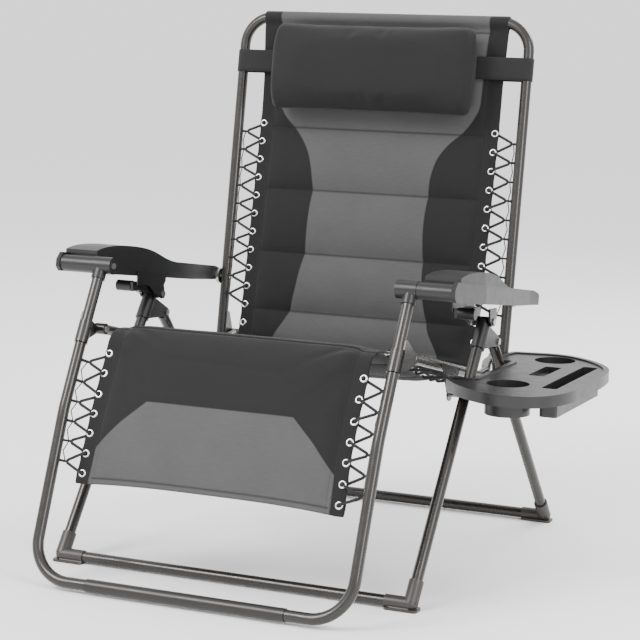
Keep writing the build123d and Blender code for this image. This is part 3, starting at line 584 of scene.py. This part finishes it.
def sling_piece(name, start, end, step=0.0062):
    """One stretch of the sling as a closed quilted mesh, swollen by Cloth."""
    x_grid, s_grid = sling_grid(start, end, step)
    half = sling_half_thickness(x_grid, s_grid)
    # the bottom hem is drawn up between its corners
    drawn = 0.008 * np.clip((s_grid - (S_END - 0.12)) / 0.12, 0, 1) ** 1.5
    drawn = drawn * (1 - np.minimum(np.abs(x_grid) / 0.262, 1) ** 3)
    place, normal = line_at((s_grid - drawn).ravel())
    place, normal = place.reshape(*s_grid.shape, 2), normal.reshape(*s_grid.shape, 2)
    layers = [np.dstack([MID + x_grid, place + normal * (sign * half)[..., None]]) for sign in (1, -1)]
    verts = np.concatenate([layer.reshape(-1, 3) for layer in layers])
    made = new_object(name, verts, sheet_faces(*x_grid.shape), MATERIALS["sling_fabric"])
    recalculate(made)
    flat_x = np.concatenate([x_grid.ravel(), x_grid.ravel()])
    flat_s = np.concatenate([s_grid.ravel(), s_grid.ravel()])
    pinned = ((np.abs(flat_x) >= PAD_HALF - 1e-6) | (flat_s < TOP_SEAM + 1e-6)
              | (flat_s <= start + 1e-6) | (flat_s >= end - 1e-6))
    for seam in ALL_SEAMS:
        pinned |= np.abs(flat_s - seam) < 1e-6
    inflate(made, 4.0, 0.010, pinned.astype(float))
    co = points_of(made)
    inlay = np.concatenate([inlay_distance(x_grid, s_grid).ravel()] * 2)
    _, way = line_at(flat_s)
    out = np.where(np.arange(2 * x_grid.size) < x_grid.size, 1.0, -1.0)
    lift = sling_relief(flat_x, flat_s, inlay, out, start, end)
    co[:, 1] += way[:, 0] * lift * out
    co[:, 2] += way[:, 1] * lift * out
    set_points(made, co)
    put_attribute(made, "flat", "FLOAT_VECTOR", np.column_stack([flat_x, flat_s, out * 0.01]))
    put_attribute(made, "inlay", "FLOAT", np.where(out > 0, inlay, -1.0))
    put_attribute(made, "edge", "FLOAT", np.abs(flat_x) - PAD_HALF)
    cross = np.min(np.abs(flat_s[:, None] - np.array(STITCHED)[None, :]), axis=1)
    put_attribute(made, "cross", "FLOAT", np.maximum(cross, np.abs(flat_x) - PAD_HALF))
    subdivide(made)
    return made


def subdivide(obj, levels=1):
    modifier = obj.modifiers.new("smooth", "SUBSURF")
    modifier.levels = levels
    modifier.render_levels = levels
    return apply_modifiers(obj)


def on_line(s):
    """A point on the middle of the sling, at a distance along it."""
    place, _ = line_at(np.array([s]))
    return (MID, float(place[0, 0]), float(place[0, 1]))


sling_back = sling_piece("sling_back", 0.0, S_BEND_REAR)
sling_seat_rear = sling_piece("sling_seat_rear", S_BEND_REAR, S_MID_SEAT)
sling_seat_front = sling_piece("sling_seat_front", S_MID_SEAT, S_BEND_FRONT)
sling_leg = sling_piece("sling_leg", S_BEND_FRONT, S_END)
on_line(S_BEND_REAR)
on_line(run_to(279, 410))
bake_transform(sling_back)
on_line(run_to(190, 359))
on_line(S_BEND_REAR)
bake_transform(sling_seat_rear)
on_line(run_to(-200, 458))
on_line(S_BEND_FRONT)
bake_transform(sling_seat_front)
on_line(S_BEND_FRONT)
on_line(run_to(-302, 423))
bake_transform(sling_leg)
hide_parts("back_panel")
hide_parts("seat_panel")
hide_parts("leg_panel")
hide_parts("rear_bend")
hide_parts("front_bend")


# ---------------------------------------------------------------- headrest
PILLOW_LEAN = math.radians(8.9)
PILLOW_DEEP = 0.068
PILLOW_TALL = 0.182
PILLOW_BACK = 0.034     # the flat face against the sling, from the pillow's middle


def box_shell(name, count):
    """The skin of a cube from -1 to 1, cut into a grid of counts along x, y and z."""
    work = bmesh.new()
    grid = {}
    for i in range(count[0] + 1):
        for j in range(count[1] + 1):
            for k in range(count[2] + 1):
                if i in (0, count[0]) or j in (0, count[1]) or k in (0, count[2]):
                    u = [2 * a / n - 1 for a, n in zip((i, j, k), count)]
                    grid[i, j, k] = work.verts.new(u)
    for axis in range(3):
        a, b = [n for n in range(3) if n != axis]
        for side in (0, count[axis]):
            for i in range(count[a]):
                for j in range(count[b]):
                    corner = []
                    for di, dj in ((0, 0), (1, 0), (1, 1), (0, 1)):
                        key = [0, 0, 0]
                        key[axis], key[a], key[b] = side, i + di, j + dj
                        corner.append(grid[tuple(key)])
                    work.faces.new(corner)
    bmesh.ops.recalc_face_normals(work, faces=work.faces)
    mesh = bpy.data.meshes.new(name)
    work.to_mesh(mesh)
    work.free()
    made = bpy.data.objects.new(name, mesh)
    bpy.context.scene.collection.objects.link(made)
    return made


def pillow_object():
    """A stuffed bolster: rounded box, swollen, with a sewn edge at each end."""
    low, high = (Vector(corner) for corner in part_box("headrest_pillow"))
    size = Vector((high.x - low.x, PILLOW_DEEP, PILLOW_TALL))
    made = box_shell("headrest_pillow_soft", (76, 14, 30))
    co = points_of(made)
    # a soft lens across, thinning towards its ends, with rounded corners in the front view
    x, y, z = co.T
    ends = np.clip((1 - np.abs(x)) / 0.07, 0, 1)
    round_end = np.sqrt(1 - (1 - ends) ** 2)
    body = (1 - np.abs(z) ** 3.6) ** 0.6
    depth = size.y / 2 * (0.30 + 0.70 * round_end) * (0.22 + 0.78 * body)
    tall = size.z / 2 * (0.93 + 0.07 * round_end)
    out = np.column_stack([x * size.x / 2 * (1 - 0.012 * z ** 2), y * depth, z * tall])
    set_points(made, out)
    inflate(made, 3.5, 0.012, None, 18, 18.0)
    co = points_of(made)
    # the long edges stay straight while the faces swell
    co[:, 2] = out[:, 2] + 0.2 * (co[:, 2] - out[:, 2])
    # flat against the back panel, with faint pulls near the ends
    co[:, 1] = np.minimum(co[:, 1], PILLOW_BACK)
    groove = 0.0022 * np.exp(-((np.abs(co[:, 0]) - size.x / 2 * 0.955) / 0.0035) ** 2)
    length = np.linalg.norm(co[:, 1:], axis=1) + 1e-9
    co[:, 1:] *= (1 - groove / length)[:, None]
    pull = np.array([noise.noise(Vector((p[0] * 14, p[1] * 10, p[2] * 22 + 5))) for p in co])
    co[:, 1:] *= (1 + 0.0016 * pull / length)[:, None]
    put_attribute(made, "flat", "FLOAT_VECTOR", np.column_stack([co[:, 0], co[:, 2], co[:, 1]]))
    set_points(made, co)
    for polygon in made.data.polygons:
        polygon.use_smooth = True
    made.data.materials.append(MATERIALS["pillow_fabric"])
    subdivide(made)
    made.matrix_world = Matrix.Translation((low + high) / 2) @ Matrix.Rotation(-PILLOW_LEAN, 4, "X")
    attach(made, "pillow")
    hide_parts("headrest_pillow")


pillow_object()


STRAP_RISE, STRAP_LEAN = 0.9881, 0.1538      # cosine and sine of the back tubes' lean
STRAP_HIDDEN = 0.205    # half width of the gap in front, which the pillow covers


def headrest_strap():
    """A wide elastic band from the pillow round both tubes and across the back."""
    low, high = (Vector(corner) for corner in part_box("headrest_strap"))
    lane, wrap = (high.x - low.x) / 2 - 0.0132, 0.0124
    z_low, z_high = low.z + 0.003, high.z
    direction = Vector((0, STRAP_LEAN, STRAP_RISE))
    across = Vector((0, STRAP_RISE, -STRAP_LEAN))
    base = Vector((MID, 0.300, 0.426)) + direction * ((z_low - 0.426) / STRAP_RISE)
    outline = []
    for sign in (1, -1):
        outline += [(sign * (STRAP_HIDDEN + (lane - STRAP_HIDDEN) * t), -wrap - 0.004 * (1 - t) * (1 - t))
                    for t in np.linspace(0, 1, 9)][::1 if sign > 0 else -1]
        if sign > 0:
            outline += [(lane + wrap * math.sin(a), -wrap * math.cos(a))
                        for a in np.linspace(0, math.pi, 14)[1:]]
            outline += [(x, wrap + 0.0022) for x in np.linspace(lane - 0.02, -lane + 0.02, 30)]
            outline += [(-lane - wrap * math.sin(a), -wrap * math.cos(a))
                        for a in np.linspace(math.pi, 0, 14)[:-1]]
    height = (z_high - z_low) / STRAP_RISE
    rows = 7
    verts, faces, flat = [], [], []
    run = 0.0
    last = None
    for x, w in outline:
        if last:
            run += math.hypot(x - last[0], w - last[1])
        last = (x, w)
        for k in range(rows):
            share = k / (rows - 1)
            wave = 0.0006 * noise.noise(Vector((run * 30, share * 2, 0)))
            verts.append(base + Vector((x, 0, 0)) + across * (w + wave) + direction * height * share)
            flat.append((run, share * height, 0))
    for i in range(len(outline) - 1):
        for k in range(rows - 1):
            a = i * rows + k
            faces.append((a, a + 1, a + rows + 1, a + rows))
    made = new_object("headrest_strap_soft", verts, faces, MATERIALS["strap_webbing"])
    put_attribute(made, "flat", "FLOAT_VECTOR", flat)
    solid = made.modifiers.new("thick", "SOLIDIFY")
    solid.thickness = 0.0013
    solid.offset = 0
    apply_modifiers(made)
    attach(made, "pillow")
    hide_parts("headrest_strap")


headrest_strap()


# ---------------------------------------------------------------- eyelets
EYELET_LANE = 0.267


def eyelet_set(name, body, points):
    """Rolled metal grommets on the sling's edge strips, front and back."""
    profile = [(0.0042, -0.0026), (0.0044, -0.0031), (0.0056, -0.0036), (0.0072, -0.0030),
               (0.0080, -0.0019), (0.0080, 0.0019), (0.0072, 0.0030), (0.0056, 0.0036),
               (0.0044, 0.0031), (0.0042, 0.0026)]
    turns = 28
    verts, faces = [], []
    for y, z in points:
        s = run_to(y, z)
        place, normal = line_at(np.array([s]))
        n = Vector((0, normal[0, 0], normal[0, 1]))
        t = Vector((0, normal[0, 1], -normal[0, 0]))
        for sign in (-1, 1):
            centre = Vector((MID + sign * EYELET_LANE, y * MM, z * MM))
            start = len(verts)
            for i in range(turns):
                a = 2 * math.pi * i / turns
                radial = Vector((1, 0, 0)) * math.cos(a) + t * math.sin(a)
                verts += [centre + radial * r + n * h for r, h in profile]
            m = len(profile)
            for i in range(turns):
                for k in range(m):
                    a = start + i * m + k
                    b = start + i * m + (k + 1) % m
                    c = start + ((i + 1) % turns) * m + (k + 1) % m
                    d = start + ((i + 1) % turns) * m + k
                    faces.append((a, b, c, d))
    made = new_object(f"{name}_rolled", verts, faces, MATERIALS["eyelet_metal"])
    recalculate(made)
    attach(made, body)
    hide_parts(name)


eyelet_set("back_eyelets", "back", BACK_EYELETS)
eyelet_set("seat_eyelets", "seat", SEAT_EYELETS)
eyelet_set("leg_eyelets", "foot", LEG_EYELETS)


# ---------------------------------------------------------------- cord loops at the tubes
LOOP_R = 0.0021
LOOP_HOLD = 0.0034      # the loop's bend at the tube
LOOP_SPREAD = 0.0024    # half the gap between its two strands at the elastic
LOOP_NECK = 0.004
LOOP_REACH = 0.05       # a bend further than this from the tube has no loop


def tube_tree(names):
    """One search tree over the tubes that a lacing is tied to."""
    verts, faces = [], []
    for name in names:
        mesh = nodes[name].data
        base = len(verts)
        verts += [nodes[name].matrix_world @ v.co for v in mesh.vertices]
        faces += [tuple(base + i for i in polygon.vertices) for polygon in mesh.polygons]
    return BVHTree.FromPolygons(verts, faces)


def islands(obj):
    """The connected pieces of a mesh, each as its world points."""
    world = obj.matrix_world
    keys, owner = {}, {}
    places = [world @ v.co for v in obj.data.vertices]
    index = [keys.setdefault(tuple(round(c, 5) for c in p), i) for i, p in enumerate(places)]

    def root(i):
        while owner.get(i, i) != i:
            owner[i] = owner.get(owner[i], owner[i])
            i = owner[i]
        return i

    for edge in obj.data.edges:
        first, second = root(index[edge.vertices[0]]), root(index[edge.vertices[1]])
        if first != second:
            owner[first] = second
    pieces = {}
    for i in set(index):
        pieces.setdefault(root(i), []).append(places[i])
    return list(pieces.values())


def elastic_bends(pieces, sign):
    """The outer bends of one elastic cord, found as groups of its outermost points."""
    sided = [p for p in pieces if sign * (p[0].x - MID) > 0]
    places = min(sided, key=lambda piece: min(sign * (p.x - MID) for p in piece))
    reach = max(sign * (p.x - MID) for p in places)
    outer = sorted((p for p in places if sign * (p.x - MID) > reach - 0.003), key=lambda p: (p.z, p.y))
    groups = []
    for p in outer:
        home = next((g for g in groups if (g[0] - p).length < 0.016), None)
        if home is None:
            groups.append([p])
        else:
            home.append(p)
    return [sum(g, Vector()) / len(g) for g in groups]


def swept_ring(path, axis, radius, sides=8):
    """A round cord along a flat closed path whose plane has the given axis."""
    verts, faces = [], []
    count = len(path)
    for i, p in enumerate(path):
        along = (path[(i + 1) % count] - path[i - 1]).normalized()
        out = along.cross(axis)
        for k in range(sides):
            angle = 2 * math.pi * k / sides
            verts.append(p + radius * (math.cos(angle) * out + math.sin(angle) * axis))
    for i in range(count):
        for k in range(sides):
            a = i * sides + k
            b = i * sides + (k + 1) % sides
            c = (i + 1) % count * sides + (k + 1) % sides
            d = (i + 1) % count * sides + k
            faces.append((a, b, c, d))
    return verts, faces


def tube_loops(lacing, body, tubes):
    """Short doubled loops that tie each bend of the elastic to the tube's inner side."""
    tree = tube_tree(tubes)
    pieces = islands(nodes[lacing])
    verts, faces = [], []
    for sign in (-1, 1):
        bends = elastic_bends(pieces, sign)
        for i, bend in enumerate(bends):
            near, normal, _, gap = tree.find_nearest(bend)
            if gap > LOOP_REACH:
                continue
            centre = near - normal * 0.0005
            other = bends[i + 1] if i + 1 < len(bends) else bends[i - 1]
            axis = (other - bend).normalized()
            across = bend - centre
            across = (across - axis * across.dot(axis)).normalized()
            side = axis.cross(across)
            far = (bend - centre).dot(across)
            path = []
            for step in range(13):
                angle = math.radians(75 + 210 * step / 12)
                path.append(centre + LOOP_HOLD * (math.cos(angle) * across + math.sin(angle) * side))
            path.append(centre + across * (far - LOOP_NECK) - side * LOOP_SPREAD)
            path.append(centre + across * (far - 0.0008))
            path.append(centre + across * (far - LOOP_NECK) + side * LOOP_SPREAD)
            ring, skin = swept_ring(path, axis, LOOP_R)
            faces += [tuple(len(verts) + k for k in face) for face in skin]
            verts += ring
    made = new_object(f"{lacing}_loops", verts, faces, MATERIALS["lace_cord"])
    recalculate(made)
    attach(made, body)


tube_loops("back_lacing", "back", ("back_tube_left", "back_tube_right"))
tube_loops("seat_lacing", "seat", ("seat_rail_left", "seat_rail_right"))
tube_loops("leg_lacing", "foot", ("foot_upper_tube_left", "foot_upper_tube_right",
                                  "foot_lower_tube_left", "foot_lower_tube_right"))


# ---------------------------------------------------------------- floor, light and camera
def floor():
    mesh = bpy.data.meshes.new("studio_floor")
    mesh.from_pydata([(-30, -30, 0), (30, -30, 0), (30, 30, 0), (-30, 30, 0)], [], [(0, 1, 2, 3)])
    made = bpy.data.objects.new("studio_floor", mesh)
    bpy.context.scene.collection.objects.link(made)
    surface = bpy.data.materials.new("studio_floor")
    surface.use_nodes = True
    principled = surface.node_tree.nodes["Principled BSDF"]
    principled.inputs["Base Color"].default_value = (0.98, 0.98, 0.98, 1)
    principled.inputs["Roughness"].default_value = 0.9
    mesh.materials.append(surface)


def area_light(name, place, aim, size, power, colour=(1, 1, 1)):
    data = bpy.data.lights.new(name, "AREA")
    data.shape = "RECTANGLE"
    data.size, data.size_y = size
    data.energy = power
    data.color = colour
    made = bpy.data.objects.new(name, data)
    bpy.context.scene.collection.objects.link(made)
    made.location = place
    made.rotation_euler = (Vector(aim) - Vector(place)).to_track_quat("-Z", "Y").to_euler()


floor()
area_light("key", (-2.2, -3.2, 3.6), (0, 0, 0.5), (2.0, 2.0), 230, (1.0, 0.99, 0.97))
area_light("fill", (3.6, -2.0, 2.2), (0, 0, 0.5), (1.4, 2.6), 120, (0.97, 0.98, 1.0))
area_light("rim", (1.4, 3.2, 3.0), (0, 0, 0.6), (3.0, 1.4), 130)
world = bpy.data.worlds.new("studio")
bpy.context.scene.world = world
world.use_nodes = True
world.node_tree.nodes["Background"].inputs["Color"].default_value = (1, 1, 1, 1)
world.node_tree.nodes["Background"].inputs["Strength"].default_value = 1.5

CAMERA_PLACE = Vector((1.7477 + MID, -3.8107, 1.1019))
CAMERA_LENS = 118.9125  # millimetres
YAW, PITCH, ROLL = 0.4211, -0.1489, 0.0211
forward = Vector((-math.sin(YAW) * math.cos(PITCH), math.cos(YAW) * math.cos(PITCH), math.sin(PITCH)))
right = Vector((math.cos(YAW), math.sin(YAW), 0))
up = right.cross(forward)
right_rolled = right * math.cos(ROLL) + up * math.sin(ROLL)
up_rolled = up * math.cos(ROLL) - right * math.sin(ROLL)
camera_data = bpy.data.cameras.new("camera")
camera_data.sensor_width = 36
camera_data.lens = CAMERA_LENS
camera = bpy.data.objects.new("camera", camera_data)
bpy.context.scene.collection.objects.link(camera)
camera.matrix_world = Matrix(((right_rolled.x, up_rolled.x, -forward.x, CAMERA_PLACE.x),
                              (right_rolled.y, up_rolled.y, -forward.y, CAMERA_PLACE.y),
                              (right_rolled.z, up_rolled.z, -forward.z, CAMERA_PLACE.z),
                              (0, 0, 0, 1)))
bpy.context.scene.camera = camera
